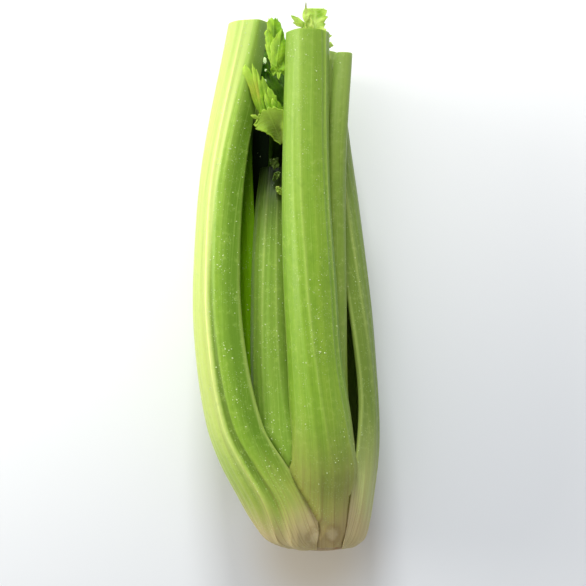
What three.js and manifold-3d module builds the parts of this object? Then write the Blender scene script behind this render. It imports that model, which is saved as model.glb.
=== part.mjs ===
// A head of celery lying on its side: sheathed stalks in a spiral round a short root plate, a heart of
// small stalks and a few trimmed leaves. Millimetres, +Z up. The head lies along Y with its root end at
// -Y. The origin is under the middle of the head, on the surface that it lies on.

import * as THREE from 'three'
import { mergeVertices } from 'three/addons/utils/BufferGeometryUtils.js'
import Module from 'manifold-3d'

const wasm = await Module()
wasm.setup()

// Driving dimensions

const seamGap = 0.3 // clearance between pieces that grow pressed together
const marginShare = 0.4 // thickness of a stalk at its margins, as a share of its middle
const ringEasing = 1.5 // draws the rings of a stalk closer together towards its root end
const acrossSteps = 8 // facets across the ribbed face of a stalk
const channelSteps = 6 // facets across the smooth channel face
const marginRound = 0.3 // how far a margin is rounded outwards, as a share of the thickness

const stalkGreen = 0x8fb04a
const heartGreen = 0xb4cc6a
const leafGreen = 0x7fae22
const rootCream = 0xb8a884
const waxyRoughness = 0.45
const leafRoughness = 0.55
const mattRoughness = 0.8

// Each stalk is a crescent in section. A row of its course gives, at one distance from the root end:
// [distance, x and z of the centre of its ribbed face, the way it faces in degrees (90 is up),
//  radius of the ribbed face, half its wrap in degrees, thickness in its middle]
// The stalks are in their order of growth, the outermost first.

const stalks = [
  {
    name: 'outer_left_stalk',
    rings: 16,
    course: [
      [0.8, 14, 37, 160, 20, 76, 6],
      [4, 12, 37, 159, 24.5, 79, 9],
      [13, 8.5, 37, 152.5, 28, 81.5, 10],
      [28, 0.5, 37.5, 146.5, 28.5, 85.5, 9],
      [46, -11, 38.5, 146.5, 26.2, 84.5, 9],
      [66, -20.5, 40, 149, 23.5, 80, 9.5],
      [100, -28.4, 42, 148, 20.7, 78, 10],
      [145, -32.8, 43, 145, 18, 79, 10],
      [205, -31, 43, 138, 15.3, 84, 9.5],
      [282, -20.1, 47, 112, 11.3, 86, 8]
    ]
  },
  {
    name: 'under_right_stalk',
    rings: 15,
    course: [
      [1, 19, 37, 284, 20.5, 46, 5],
      [5, 19, 37, 284, 26, 46, 6],
      [13, 19.5, 37, 284, 30, 46, 7.5],
      [27, 20, 36, 284, 32, 46, 7.5],
      [50, 20, 29.5, 284, 28, 52, 8],
      [90, 19, 20.5, 285, 20, 64, 9],
      [150, 17, 16.5, 288, 15.8, 80, 9],
      [210, 14, 14.5, 286, 13.8, 84, 8.5],
      [266, 12, 12.5, 286, 11.8, 84, 7.5]
    ]
  },
  {
    name: 'outer_right_stalk',
    rings: 15,
    course: [
      [0.8, 18.5, 37, -8, 21, 64, 5],
      [4, 17.8, 37, -8, 25, 66, 6.5],
      [13, 18.5, 37, -8, 27, 66, 6.5],
      [28, 20, 37, -8, 28, 67, 6],
      [50, 26.5, 37, -11, 23.9, 73, 6.5],
      [78, 32.4, 37.5, -12, 17.8, 76, 9],
      [110, 31.3, 37.5, -9, 16.6, 78, 9],
      [148, 28.5, 37, -2, 15.8, 82, 9],
      [216, 21.5, 37, 0, 13.5, 86, 8.5],
      [268, 17, 37, 0, 12, 86, 7.5]
    ]
  },
  {
    name: 'under_left_stalk',
    rings: 15,
    course: [
      [2, 17, 37, 232, 18, 54, 4],
      [12, 13, 36, 232, 23, 54, 6],
      [27, 8, 34, 234, 26, 54, 7.5],
      [50, -4.5, 29, 238, 26.5, 56, 8.5],
      [90, -11, 21.5, 245, 21, 68, 9.5],
      [150, -17, 17, 245, 16.5, 82, 9.5],
      [210, -17, 14.5, 245, 14, 86, 9],
      [260, -14, 12.5, 248, 12, 86, 8]
    ]
  },
  {
    name: 'front_stalk',
    rings: 15,
    course: [
      [2.5, 19.5, 37, 92, 19.5, 66, 3.5],
      [8, 19.5, 38, 92, 21.5, 68, 4.5],
      [16, 19.4, 42.8, 92, 20.6, 72, 6],
      [30, 19.6, 47.4, 92, 19.6, 80, 7.5],
      [45, 20, 52.4, 92, 19.8, 88, 8.5],
      [64, 18.6, 58.6, 92, 17.4, 84, 9],
      [98, 15, 64.5, 92, 14.4, 86, 9.5],
      [138, 12.3, 66, 92, 13.8, 87, 9.5],
      [198, 9.9, 66, 92, 12.6, 88, 9],
      [273, 10.9, 65, 92, 11.2, 88, 8]
    ]
  },
  {
    name: 'inner_left_stalk',
    rings: 11,
    course: [
      [14, 15, 37, 184, 17, 60, 5],
      [30, 8, 36, 180, 19, 66, 6],
      [58, -6, 34, 174, 16, 74, 7],
      [100, -14, 32, 170, 13, 80, 7],
      [150, -17.5, 31.5, 170, 12, 84, 7],
      [210, -20, 30, 178, 10.5, 88, 7],
      [252, -20, 29, 184, 9.4, 90, 6.5]
    ]
  },
  {
    name: 'upper_right_stalk',
    rings: 11,
    course: [
      [18, 22, 39, 48, 14, 64, 4.5],
      [42, 25, 45.5, 48, 12, 76, 5],
      [78, 24.8, 52, 46, 8, 90, 5.5],
      [138, 25, 56, 42, 6.6, 100, 5.4],
      [213, 25.4, 57, 40, 6.2, 104, 5],
      [264, 29.4, 57, 40, 5.3, 104, 4.4]
    ]
  },
  {
    name: 'inner_under_stalk',
    rings: 11,
    course: [
      [18, 17, 37, 268, 17, 56, 5],
      [38, 13, 34, 268, 17.5, 62, 6],
      [78, 5, 28, 268, 14, 74, 7],
      [150, 1, 26, 270, 12, 82, 7],
      [210, 0, 24, 270, 10.8, 86, 7],
      [255, 1, 22, 270, 9.4, 88, 6.5]
    ]
  },
  {
    name: 'inner_upper_stalk',
    rings: 11,
    course: [
      [20, 14, 41, 125, 17.5, 58, 4.5],
      [46, 2, 45, 122, 17, 68, 5.5],
      [88, -5.6, 46, 116, 13.6, 78, 7],
      [138, -7.6, 46, 112, 11.6, 82, 7],
      [184, -7, 43, 108, 10, 84, 6.5],
      [206, -6.2, 36, 106, 8.6, 84, 5]
    ]
  },
  {
    name: 'inner_right_stalk',
    rings: 10,
    course: [
      [24, 19, 38, -10, 13, 60, 4.5],
      [52, 18, 37, -8, 13, 70, 5.5],
      [98, 17, 36, -5, 11.5, 80, 6.5],
      [158, 14, 36, -2, 10, 86, 6.5],
      [244, 10, 36, 0, 8.6, 88, 6]
    ]
  },
  {
    name: 'thin_stalk',
    rings: 8,
    course: [
      [30, 19, 45, 75, 6.5, 80, 3.5],
      [78, 19, 54, 75, 4.8, 100, 3.6],
      [148, 18, 58.5, 75, 4.2, 110, 3.6],
      [261, 20.3, 58.5, 60, 3.6, 120, 3.2]
    ]
  },
  {
    name: 'heart_stalk_1',
    rings: 8,
    course: [
      [28, 15, 37, 215, 10, 66, 3.8],
      [68, 4, 37, 220, 8, 84, 4.6],
      [138, -3, 36, 225, 6.6, 96, 4.8],
      [198, -1, 37, 225, 5, 104, 4]
    ]
  },
  {
    name: 'heart_stalk_2',
    rings: 8,
    course: [
      [30, 16, 38, 82, 9, 66, 3.6],
      [68, 11, 46, 85, 7, 90, 4.6],
      [138, 10.5, 52.5, 90, 6.2, 100, 4.8],
      [238, 9.5, 53, 95, 5, 110, 4]
    ]
  },
  {
    name: 'heart_stalk_3',
    rings: 8,
    course: [
      [31, 17, 37, 305, 8, 66, 3.4],
      [68, 12, 36, 310, 6.6, 90, 4],
      [138, 6, 37, 315, 5.6, 104, 4.2],
      [192, 5, 38, 320, 4.5, 110, 3.4]
    ]
  }
]

// The short stem: radius and distance from its cut face

const rootPlate = {
  profile: [
    [0, 0], [16.5, 0], [17.8, 1], [19.2, 4], [19.6, 8], [18.6, 13], [16, 20], [11, 28], [5, 34],
    [0, 35.5]
  ],
  x: 18,
  z: 37,
  sides: 32
}

// Leaves are thin blades. An outline is across and along the head from the blade's own centre, whose
// place is x, distance from the root end and z. Tilt is the blade's slope along and across, in degrees.

const bladeThickness = 1

const leaves = [
  {
    name: 'upper_leaf',
    place: [-6, 267, 58.5],
    tilt: [3, 8],
    outline: [
      [-4.5, 12.7], [-2.4, 15.4], [1.9, 14.8], [4, 9.5], [6, 6.4], [6, -6.4], [4, -14.8], [2.9, -12.2],
      [1.9, -16.4], [0.3, -13.3], [-1.3, -14.3], [-2.4, -10], [-4, -7.4], [-3.4, -2.1], [-5.6, 1.1],
      [-4, 4.2], [-5.6, 7.4]
    ]
  },
  {
    name: 'fingered_leaf',
    place: [-13, 244.5, 58.8],
    tilt: [14, 6],
    outline: [
      [-9, 12.6], [-6.8, 6.8], [-5.3, 13.2], [-4.2, 7.4], [-2.6, 10], [0, 5.3], [4.2, 1.1], [11, -6.8],
      [11, -12.6], [3.2, -11.6], [-2.1, -9.5], [-5.8, -3.2], [-8.4, 4.2], [-10, 8.4]
    ]
  },
  {
    name: 'fan_leaf',
    place: [-10, 227.2, 57.5],
    tilt: [14, 0],
    outline: [
      [-6.4, 6.4], [-2.7, 8.5], [2.1, 8], [8, 6.4], [8, -10.1], [3.2, -8.5], [-1.1, -5.3], [-4.8, -2.1],
      [-8.5, 0.5], [-7.4, 2.7], [-9.5, 3.7], [-6.4, 4.2]
    ]
  },
  {
    name: 'shaded_leaf',
    place: [-8.7, 252.4, 44],
    tilt: [0, 0],
    outline: [
      [-8, 21], [-2.4, 22.6], [2, 17], [5.6, 4], [8.2, -6], [6.4, -16], [-3, -14.6], [-7.6, 0]
    ]
  },
  {
    name: 'cut_leaf',
    place: [15.3, 283, 61.5],
    tilt: [0, -4],
    outline: [
      [-5.8, 4.2], [-5.2, 7.2], [-4.7, 4.2], [5.2, 4.2], [4.9, 2.6], [7.3, 2.1], [5.8, 0.5], [7.9, -1],
      [5.8, -2.6], [6.8, -4.2], [5, -5.8], [2.4, -8.4], [1.4, -12.6], [-6.3, -12.6]
    ]
  },
  {
    name: 'leaf_tip',
    place: [5.3, 281, 60.5],
    tilt: [0, 12],
    outline: [[-3.2, 2.1], [-0.5, 1.1], [3.2, 0.5], [3.2, -5.3], [-0.5, -2.1]]
  },
  {
    name: 'side_leaf',
    place: [21.6, 269.5, 63],
    tilt: [0, -10],
    outline: [[-3.1, 4.7], [0.5, 3.7], [2.1, 2.6], [0.5, 1], [3.1, -1.6], [1, -3.1], [-3.1, -3.4]]
  },
  {
    name: 'shrivelled_leaflet_1',
    place: [-7, 207.5, 49],
    tilt: [20, 10],
    outline: [[-2.4, 1.4], [0.6, 2.4], [2.3, 0.3], [0.9, -2.2], [-1.5, -1.7]]
  },
  {
    name: 'shrivelled_leaflet_2',
    place: [-5.6, 199.5, 51],
    tilt: [-10, -14],
    outline: [[-1.7, 0.8], [1.2, 2.6], [2, 1], [-0.6, -2.6], [-1.6, -1.6]]
  },
  {
    name: 'shrivelled_leaflet_3',
    place: [-4, 192, 52.5],
    tilt: [-8, -10],
    outline: [[-1.3, 2], [0.6, 1.8], [1.5, -0.8], [0.6, -2.2], [-0.8, -0.6]]
  }
]

// Interpolates the rows of a course smoothly: every row starts with its distance

function rowAt(rows, distance) {
  let i = 0
  while (i < rows.length - 2 && distance > rows[i + 1][0]) i++
  const here = rows[i]
  const next = rows[i + 1]
  const before = rows[Math.max(i - 1, 0)]
  const after = rows[Math.min(i + 2, rows.length - 1)]
  const span = next[0] - here[0]
  const k = (distance - here[0]) / span
  return here.map((value, j) => {
    const leave = (next[j] - before[j]) / (next[0] - before[0])
    const arrive = (after[j] - value) / (after[0] - here[0])
    return (2 * k ** 3 - 3 * k ** 2 + 1) * value + (3 * k ** 2 - 2 * k ** 3) * next[j] +
      span * ((k ** 3 - 2 * k ** 2 + k) * leave + (k ** 3 - k ** 2) * arrive)
  })
}

// The unrolled section of a stalk: x runs from margin to margin, -1 to 1, and y is the depth, 0 on the
// channel face and 1 on the ribbed face, on top of a bow that keeps the outline free of straight runs

const bow = 0.4
const beyondMargin = 1.06 // where the middle of a margin stands on the unrolled section
const midDepth = 0.5

function stripOutline() {
  const points = []
  for (let i = 0; i <= acrossSteps; i++) {
    const across = -1 + 2 * i / acrossSteps
    points.push(new THREE.Vector2(across, 1 - bow * across ** 2))
  }
  points.push(new THREE.Vector2(beyondMargin, midDepth - bow))
  for (let i = 0; i <= channelSteps; i++) {
    const across = 1 - 2 * i / channelSteps
    points.push(new THREE.Vector2(across, -bow * across ** 2))
  }
  points.push(new THREE.Vector2(-beyondMargin, midDepth - bow))
  return new THREE.Shape(points)
}

// Lofts the section along the course; grow makes it that much bigger all round

function stalkGeometry(stalk, grow = 0) {
  const { course, rings } = stalk
  const start = course[0][0] - grow
  const end = course[course.length - 1][0] + grow
  const loft = new THREE.ExtrudeGeometry(stripOutline(), { depth: 1, steps: rings, bevelEnabled: false })
  const place = loft.attributes.position
  for (let i = 0; i < place.count; i++) {
    const across = THREE.MathUtils.clamp(place.getX(i), -1, 1)
    const onMargin = Math.abs(place.getX(i)) > (1 + beyondMargin) / 2
    const depth = onMargin ? midDepth : place.getY(i) + bow * across ** 2
    const distance = start + (end - start) * place.getZ(i) ** ringEasing
    const [, x, z, facing, radius, wrap, wall] = rowAt(course, distance)
    const thickness = wall * (1 - (1 - marginShare) * across ** 2) + 2 * grow
    const reach = radius + grow - thickness * (1 - depth)
    const rounding = onMargin ? marginRound * thickness : 0
    const swing = THREE.MathUtils.degToRad(wrap) + (grow + rounding) / radius
    const angle = THREE.MathUtils.degToRad(facing) + across * swing
    place.setXYZ(i, x + reach * Math.cos(angle), distance, z + reach * Math.sin(angle))
  }
  return loft
}

function rootPlateGeometry(grow = 0) {
  const last = rootPlate.profile.length - 1
  const profile = rootPlate.profile.map(([radius, distance], i) => {
    const wide = radius > 0 ? radius + grow : 0
    if (i === 0) return new THREE.Vector2(wide, distance - grow)
    if (i === last) return new THREE.Vector2(wide, distance + grow)
    return new THREE.Vector2(wide, distance)
  })
  const plate = new THREE.LatheGeometry(profile, rootPlate.sides)
  return plate.translate(rootPlate.x, 0, rootPlate.z)
}

function leafGeometry(leaf) {
  const outline = new THREE.Shape(leaf.outline.map(([x, y]) => new THREE.Vector2(x, y)))
  const blade = new THREE.ExtrudeGeometry(outline, { depth: bladeThickness, bevelEnabled: false })
  const [along, across] = leaf.tilt.map(THREE.MathUtils.degToRad)
  blade.translate(0, 0, -bladeThickness / 2)
  blade.rotateX(along)
  blade.rotateY(across)
  return blade.translate(...leaf.place)
}

// Joining and cutting

const weldDistance = 1e-4

function toSolid(geometry) {
  const bare = geometry.clone()
  bare.deleteAttribute('normal')
  bare.deleteAttribute('uv')
  const merged = mergeVertices(bare, weldDistance)
  return new wasm.Manifold(new wasm.Mesh({
    numProp: 3,
    vertProperties: new Float32Array(merged.attributes.position.array),
    triVerts: new Uint32Array(merged.index.array)
  }))
}

function toGeometry(solid) {
  const { vertProperties, triVerts } = solid.getMesh()
  const geometry = new THREE.BufferGeometry()
  geometry.setAttribute('position', new THREE.BufferAttribute(vertProperties, 3))
  geometry.setIndex(new THREE.BufferAttribute(triVerts, 1))
  geometry.computeVertexNormals()
  return geometry
}

function largestPart(solid) {
  return solid.decompose().sort((a, b) => b.volume() - a.volume())[0]
}

const head = new THREE.Group()

function addPiece(name, geometry, color, roughness) {
  const material = new THREE.MeshStandardMaterial({ color, roughness, metalness: 0 })
  const piece = new THREE.Mesh(geometry, material)
  piece.name = name
  head.add(piece)
}

// Every piece is cut back to clear the root plate and what grew before it

addPiece('root_plate', rootPlateGeometry(), rootCream, mattRoughness)
let taken = toSolid(rootPlateGeometry(seamGap))
for (const stalk of stalks) {
  const solid = largestPart(toSolid(stalkGeometry(stalk)).subtract(taken))
  const color = stalk.name.startsWith('heart') ? heartGreen : stalkGreen
  addPiece(stalk.name, toGeometry(solid), color, waxyRoughness)
  taken = taken.add(toSolid(stalkGeometry(stalk, seamGap)))
}
for (const leaf of leaves) {
  const solid = largestPart(toSolid(leafGeometry(leaf)).subtract(taken))
  addPiece(leaf.name, toGeometry(solid), leafGreen, leafRoughness)
}

// The origin goes under the middle of the head, on the surface that it lies on

const box = new THREE.Box3().setFromObject(head)
const middle = box.getCenter(new THREE.Vector3())
head.position.set(-middle.x, -middle.y, -box.min.z)

export default head
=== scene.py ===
import math
import random

import bmesh
import bpy
from mathutils import Matrix, Vector, noise
from mathutils.bvhtree import BVHTree


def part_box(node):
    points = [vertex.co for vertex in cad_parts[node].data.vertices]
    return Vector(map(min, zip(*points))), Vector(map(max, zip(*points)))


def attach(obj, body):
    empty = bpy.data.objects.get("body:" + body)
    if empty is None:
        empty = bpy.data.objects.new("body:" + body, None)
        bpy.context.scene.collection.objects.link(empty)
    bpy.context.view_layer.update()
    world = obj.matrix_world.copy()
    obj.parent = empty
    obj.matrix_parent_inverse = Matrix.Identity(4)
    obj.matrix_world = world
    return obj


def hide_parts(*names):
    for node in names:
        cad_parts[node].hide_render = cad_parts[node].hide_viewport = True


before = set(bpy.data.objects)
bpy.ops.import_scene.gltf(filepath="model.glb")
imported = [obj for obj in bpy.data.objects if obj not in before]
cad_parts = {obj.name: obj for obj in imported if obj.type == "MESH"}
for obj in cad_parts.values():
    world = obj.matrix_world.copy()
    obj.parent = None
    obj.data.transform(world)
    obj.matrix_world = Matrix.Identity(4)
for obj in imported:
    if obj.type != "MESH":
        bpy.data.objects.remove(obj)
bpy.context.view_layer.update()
scene = bpy.context.scene
mm = 0.001
chance = random.Random(11)
print("frame loaded,", len(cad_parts), "nodes")

# Lengths below are in millimetres. A place is x, distance from the cut root end, and z, all measured
# from the spot that the root plate gives.
plateLow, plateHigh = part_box("root_plate")
plateMiddle = (plateLow + plateHigh) / 2
rootX, rootZ = 18, 37  # where the middle of the root plate stands
touching = 1e-6  # in metres: vertices closer than this become one
shift = Vector((plateMiddle.x - rootX * mm, plateLow.y, plateMiddle.z - rootZ * mm))


def spot(x, distance, z):
    return Vector((x, distance, z)) * mm + shift


def smoothstep(low, high, value):
    k = min(max((value - low) / (high - low), 0), 1)
    return k * k * (3 - 2 * k)


def blendOf(a, b, k):
    return a + (b - a) * k


# camera, straight above the belly of the head
view = {"x": 3.2, "distance": 137.5, "height": 620, "angle": 30.82, "nearest": 10}

camera = bpy.data.objects.new("camera", bpy.data.cameras.new("camera"))
camera.location = spot(view["x"], view["distance"], view["height"])
camera.data.angle = math.radians(view["angle"])
camera.data.clip_start = view["nearest"] * mm
scene.collection.objects.link(camera)
scene.camera = camera


def linear(colour):
    # a finish's colours are written 0 to 255, as seen on a screen, and this gives what Blender works in
    return tuple(((c / 255 + 0.055) / 1.055) ** 2.4 if c > 10 else c / 255 / 12.92 for c in colour)


# shader helpers: a Wire is a socket that can be added, multiplied and fed to other nodes
class Wire:
    def __init__(self, tree, socket=None):
        self.tree = tree
        self.socket = socket

    def node(self, kind, settings=None, inputs=None, output=0):
        made = self.tree.nodes.new("ShaderNode" + kind)
        for name, value in (settings or {}).items():
            setattr(made, name, value)
        for name, value in (inputs or {}).items():
            if isinstance(value, Wire):
                self.tree.links.new(value.socket, made.inputs[name])
            else:
                made.inputs[name].default_value = value
        return Wire(self.tree, made.outputs[output])

    def maths(self, operation, *values):
        return self.node("Math", {"operation": operation}, dict(enumerate(values)))

    def __add__(self, other):
        return self.maths("ADD", self, other)

    __radd__ = __add__

    def __sub__(self, other):
        return self.maths("SUBTRACT", self, other)

    def __rsub__(self, other):
        return self.maths("SUBTRACT", other, self)

    def __mul__(self, other):
        return self.maths("MULTIPLY", self, other)

    __rmul__ = __mul__

    def __pow__(self, other):
        return self.maths("POWER", self, other)

    def fades(self, low, high):
        # 0 at low, 1 at high, smooth between, and low may be the larger
        inputs = {"Value": self, "From Min": low, "From Max": high}
        return self.node("MapRange", {"interpolation_type": "SMOOTHSTEP"}, inputs)

    def mixed(self, first, second):
        # this wire is the factor, and first and second are colours
        first, second = (c if isinstance(c, Wire) else (*linear(c), 1) for c in (first, second))
        return self.node("Mix", {"data_type": "RGBA"}, {0: self, 6: first, 7: second}, 2)

    def coated(self, tone, coats):
        # this wire is a colour, and each coat is a mask and the colour that it lets through, lowest first
        colour = self
        for mask, shade in coats:
            colour = mask.mixed(colour, tone[shade])
        return colour

    def solid(self):
        # the place in the room
        return self.node("TexCoord", {}, {}, 3)

    def measured(self, name):
        # a number that the mesh carries
        return self.node("Attribute", {"attribute_name": name}, {}, 2)

    # in the next five this wire is a place
    def noisy(self, scale, detail, roughness):
        return self.node("TexNoise", {}, {"Vector": self, "Scale": scale, "Detail": detail,
                                          "Roughness": roughness})

    def cells(self, scale, feature="F1"):
        return self.node("TexVoronoi", {"feature": feature}, {"Vector": self, "Scale": scale})

    def scaled(self, x, y):
        return self.node("Mapping", {}, {"Vector": self, "Scale": (x, y, 1)})

    def part(self, n):
        return self.node("SeparateXYZ", {}, {"Vector": self}, n)

    def distance(self, centre, scale):
        # how far this place is from a centre, each direction scaled
        away = self.node("Mapping", {}, {"Vector": self, "Scale": scale, "Location": -centre * scale})
        return away.node("VectorMath", {"operation": "LENGTH"}, {0: away}, 1)

    def bumped(self, strength, height):
        # this wire is the height of a relief
        return self.node("Bump", {}, {"Height": self, "Strength": strength, "Distance": height * mm})


def finish(name, constants, linked):
    # a new material, given as numbers that are the same all over and as a function that wires the rest
    material = bpy.data.materials.new(name)
    material.use_nodes = True
    tree = material.node_tree
    shader = tree.nodes["Principled BSDF"]
    for socket, value in constants.items():
        shader.inputs[socket].default_value = value
    for socket, wire in linked(Wire(tree)).items():
        tree.links.new(wire.socket, shader.inputs[socket])
    return material


# celery skin: strings run along the stalk, so the pattern is stretched that way
def skinFinish(name, tone):
    def wires(ink):
        place, solid = ink.node("UVMap", {"uv_map": "skin"}), ink.solid()
        rib, hollow, margin = ink.measured("rib"), ink.measured("hollow"), ink.measured("margin")
        run, litFlank = ink.measured("run"), ink.measured("litFlank")
        strings = place.scaled(900, 7).noisy(1, 3, 0.6)  # about 1 mm wide
        threads = place.scaled(2200, 20).noisy(1, 2, 0.5)  # half as wide
        bands = place.scaled(170, 4).noisy(1, 2, 0.5)  # 6 mm
        pores = place.scaled(3200, 2300).noisy(1, 1, 0.5)
        clouds, mottle = solid.noisy(28, 3, 0.55), solid.noisy(260, 3, 0.65)
        ridge = (rib * 0.7 + strings * 0.5 - 0.15).fades(0, 1)
        line = ink.measured("line") * (run.fades(45, 140) * 0.75 + 0.25)  # fainter towards the root
        calm = 0.3 - litFlank * 0.22  # less mottled on the lit flank, where the pale colour is painted light
        colour = (ridge * 0.6).mixed(tone["valley"], tone["crest"]).coated(tone, [
            (bands.fades(0.35, 0.75) * 0.35, "yellow"),
            (clouds.fades(0.45, 0.7) * 0.3, "deep"),
            # painted shade in the sunken grooves between the ribs, fading out at the root
            ((0 - rib).fades(0.05, 0.6) * run.fades(8, 50) * 0.75, "furrowShade"),
            # painted shade: towards the margins, away from the lit flank, each stalk turns darker
            ((margin.fades(0.45, 0.9) - litFlank).fades(0, 1) * tone["turned"], "deep"),
            # painted light: the flank that faces the window lamp is painted pale, and away from the root it
            # takes part of the line colour
            (litFlank * (0.5 + strings * 0.45), "pale"),
            (strings.fades(0.56, 0.7) * 0.28, "string"),
            (threads.fades(0.58, 0.68) * 0.16, "string"),
            (strings.fades(0.42, 0.3) * 0.25, "deep"),
            (litFlank * run.fades(120, 50) * tone["lineShare"] * 0.5, "line"),
            # the ridge line: partly the ridges' paler colour and partly a painted highlight on the crests
            (line * tone["lineShare"], "line"),
            (mottle.fades(0.5, 0.75) * calm, "deep"),
            (mottle.fades(0.48, 0.25) * calm, "string"),
            (hollow * 0.8, "channel"),
        ])
        # towards the cut top, then towards the root; at the top the inner, deep and front stalks turn darker,
        # which is painted shade, and most others paler
        left = ink.measured("left") + (strings - 0.5) * 14
        endColourAndShade = (left + (clouds - 0.5) * 12).fades(tone["endReach"], 0) * tone["endShare"]
        sheath = (run + clouds * 26 - rib * 9 - margin * 16).fades(tone["sheathEnd"], 4)
        tan = (run + strings * 10 + clouds * 16 - margin ** 4 * 20).fades(40, 16)
        colour = colour.coated(tone, [
            (endColourAndShade, "end"),
            # painted shade: near black inside the hollows of the upper part, just short of the cut top
            (hollow * left.fades(6, 30) * run.fades(130, 200) * tone["hollowShadeShare"], "hollowShade"),
            (sheath * 0.9, "sheath"),
            (tan * 0.8, "tan"),
            (strings.fades(0.5, 0.38) * run.fades(70, 12) * 0.4, "brown"),
        ])
        for x, distance, halfWidth, halfLength in tone["scars"]:
            # a pale patch with a brown outline, where an outer stalk was pulled off
            off = solid.distance(spot(x, distance, 0), Vector((1 / halfWidth, 1 / halfLength, 0)) / mm)
            off = off + (mottle - 0.5) * 1.5
            colour = colour.coated(tone, [(off.fades(2, 1.15) * off.fades(0.6, 1.1) * 0.3, "brown"),
                                          (off.fades(1.5, 0.3) * 0.5, "scar")])
        # on the inner and deep stalks the edge colour is darker, painted shade along the margins that the
        # stalks outside shade; on the others it is a paler margin
        edge = (margin + (strings - 0.5) * 0.05).fades(tone["edgeFrom"], 1)
        rim = (margin + (strings - 0.5) * 0.06).fades(0.94, 1.02) * run.fades(70, 25)
        # mist: tiny beads of water that gather in places, drawn as bumps and smoother spots, with a pale
        # colour that is a painted glint
        gathered = solid.noisy(110, 2, 0.5).fades(0.48, 0.62)
        mist = solid.cells(800).fades(0.3, 0.16) * gathered * (1 - hollow) * (1 - endColourAndShade)
        colour = colour.coated(tone, [
            (edge * (tone["edgeShare"] + run.fades(210, 60) * 0.5) * run.fades(16, 45), "edge"),
            (rim * 0.12, "brown"),
            (mist * 0.3, "beadGlint"),
        ])
        rough = 0.46 + (strings - 0.5) * 0.14 + (pores - 0.5) * 0.1 + hollow * 0.05 + tan * 0.2 - mist * 0.25
        relief = strings * 0.5 + threads * 0.28 + pores * 0.16 + mist * 0.4
        return {"Base Color": colour, "Roughness": rough, "Normal": relief.bumped(0.3, 0.4)}

    constants = {"Subsurface Weight": tone["glow"], "Subsurface Radius": (0.8, 1.0, 0.2),
                 "Subsurface Scale": 0.004, "Specular IOR Level": tone["shine"]}
    return finish(name, constants, wires)


# endReach is how far from the cut top a stalk changes, sheathEnd how far from the root, and a scar is
# x, distance, half width and half length
outerTone = {
    "valley": (124, 162, 38), "crest": (150, 182, 66), "yellow": (154, 182, 54), "deep": (98, 136, 24),
    "end": (166, 196, 92), "endReach": 60, "endShare": 0.45, "channel": (140, 172, 62),
    "string": (172, 198, 92), "line": (234, 244, 150), "lineShare": 1, "sheath": (186, 182, 100),
    "sheathEnd": 60, "tan": (198, 178, 134), "brown": (134, 104, 54), "edge": (172, 190, 98),
    "beadGlint": (206, 226, 156), "glow": 0.15, "pale": (202, 214, 120), "scars": [], "scar": (206, 190, 150),
    "furrowShade": (82, 108, 18), "edgeFrom": 0.93, "edgeShare": 0.1, "hollowShadeShare": 0, "hollowShade": (7, 17, 2),
    "shine": 0.35, "turned": 0.95,
}
# the darker end colour is painted shade on the front stalk's top, and the darker tan is painted shade at its
# root
frontTone = {
    **outerTone, "turned": 0.7, "end": (128, 158, 56), "endReach": 120, "lineShare": 0.35,
    "sheath": (170, 156, 94), "sheathEnd": 94, "tan": (180, 158, 112), "scars": [(24, 10.6, 3, 3.6)],
}
# the two stalks that the head lies on have near-black painted shade inside their hollows towards the top
underTone = {**outerTone, "hollowShadeShare": 1, "shine": 0.05}
# the stalks on the right of the head have duller, darker greens, painted shade on the side away from the
# lamps
sideTone = {
    **outerTone, "valley": (120, 148, 48), "crest": (150, 174, 76), "yellow": (152, 170, 66),
    "deep": (106, 134, 40), "sheath": (190, 190, 128), "string": (172, 188, 104), "end": (160, 186, 94),
    "lineShare": 0.4, "turned": 0.35,
}
# the stalk that bows out to the right is a little darker than the narrow ones beside it, with more painted
# shade
rightTone = {
    **sideTone, "valley": (107, 133, 41), "crest": (133, 156, 64), "yellow": (135, 152, 56),
    "sheath": (200, 204, 134), "sheathEnd": 84,
}
# the near-black end colour is painted shade at the top of the inner stalk, where the stalks around it shade
# it
innerTone = {
    **outerTone, "valley": (120, 154, 52), "crest": (138, 168, 74), "yellow": (138, 166, 62),
    "deep": (108, 148, 38), "end": (16, 28, 3), "endReach": 54, "endShare": 1, "lineShare": 0.35,
    "sheath": (182, 182, 98), "sheathEnd": 66, "edge": (108, 144, 44), "edgeFrom": 0.5, "edgeShare": 0.15,
    "shine": 0.15, "turned": 0.1,
}
# stalks deep in the head, with near-black painted shade in their hollows and towards their ends
deepTone = {
    **innerTone, "valley": (116, 166, 10), "crest": (132, 180, 22), "yellow": (128, 176, 16),
    "deep": (100, 148, 6), "channel": (100, 146, 8), "edge": (92, 134, 8), "endReach": 100,
    "end": (8, 18, 2), "string": (140, 178, 40), "hollowShadeShare": 1, "shine": 0.05,
}
heartTone = {
    **outerTone, "valley": (162, 188, 84), "crest": (186, 206, 112), "yellow": (196, 208, 112),
    "deep": (150, 180, 76), "end": (176, 202, 100), "channel": (200, 214, 138), "sheath": (222, 218, 164),
    "sheathEnd": 100, "tan": (206, 192, 150), "edge": (204, 212, 146), "glow": 0.25,
}
outerSkin = skinFinish("outer_skin", {**outerTone, "scars": [(15, 8.9, 3.2, 3.8)]})
rightSkin = skinFinish("right_skin", rightTone)
sideSkin = skinFinish("side_skin", sideTone)
frontSkin = skinFinish("front_skin", frontTone)
underSkin = skinFinish("under_skin", underTone)
innerSkin = skinFinish("inner_skin", innerTone)
deepSkin = skinFinish("deep_skin", deepTone)
heartSkin = skinFinish("heart_skin", heartTone)

# the cut ends: pale flesh with a dot where each string was cut through
cut = {
    "flesh": (198, 212, 134), "pith": (214, 222, 160), "rim": (128, 160, 62), "string": (226, 228, 178),
    "around": (150, 178, 84), "old": (186, 156, 108), "spacing": 2.7, "depth": 1.5,
}


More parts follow.
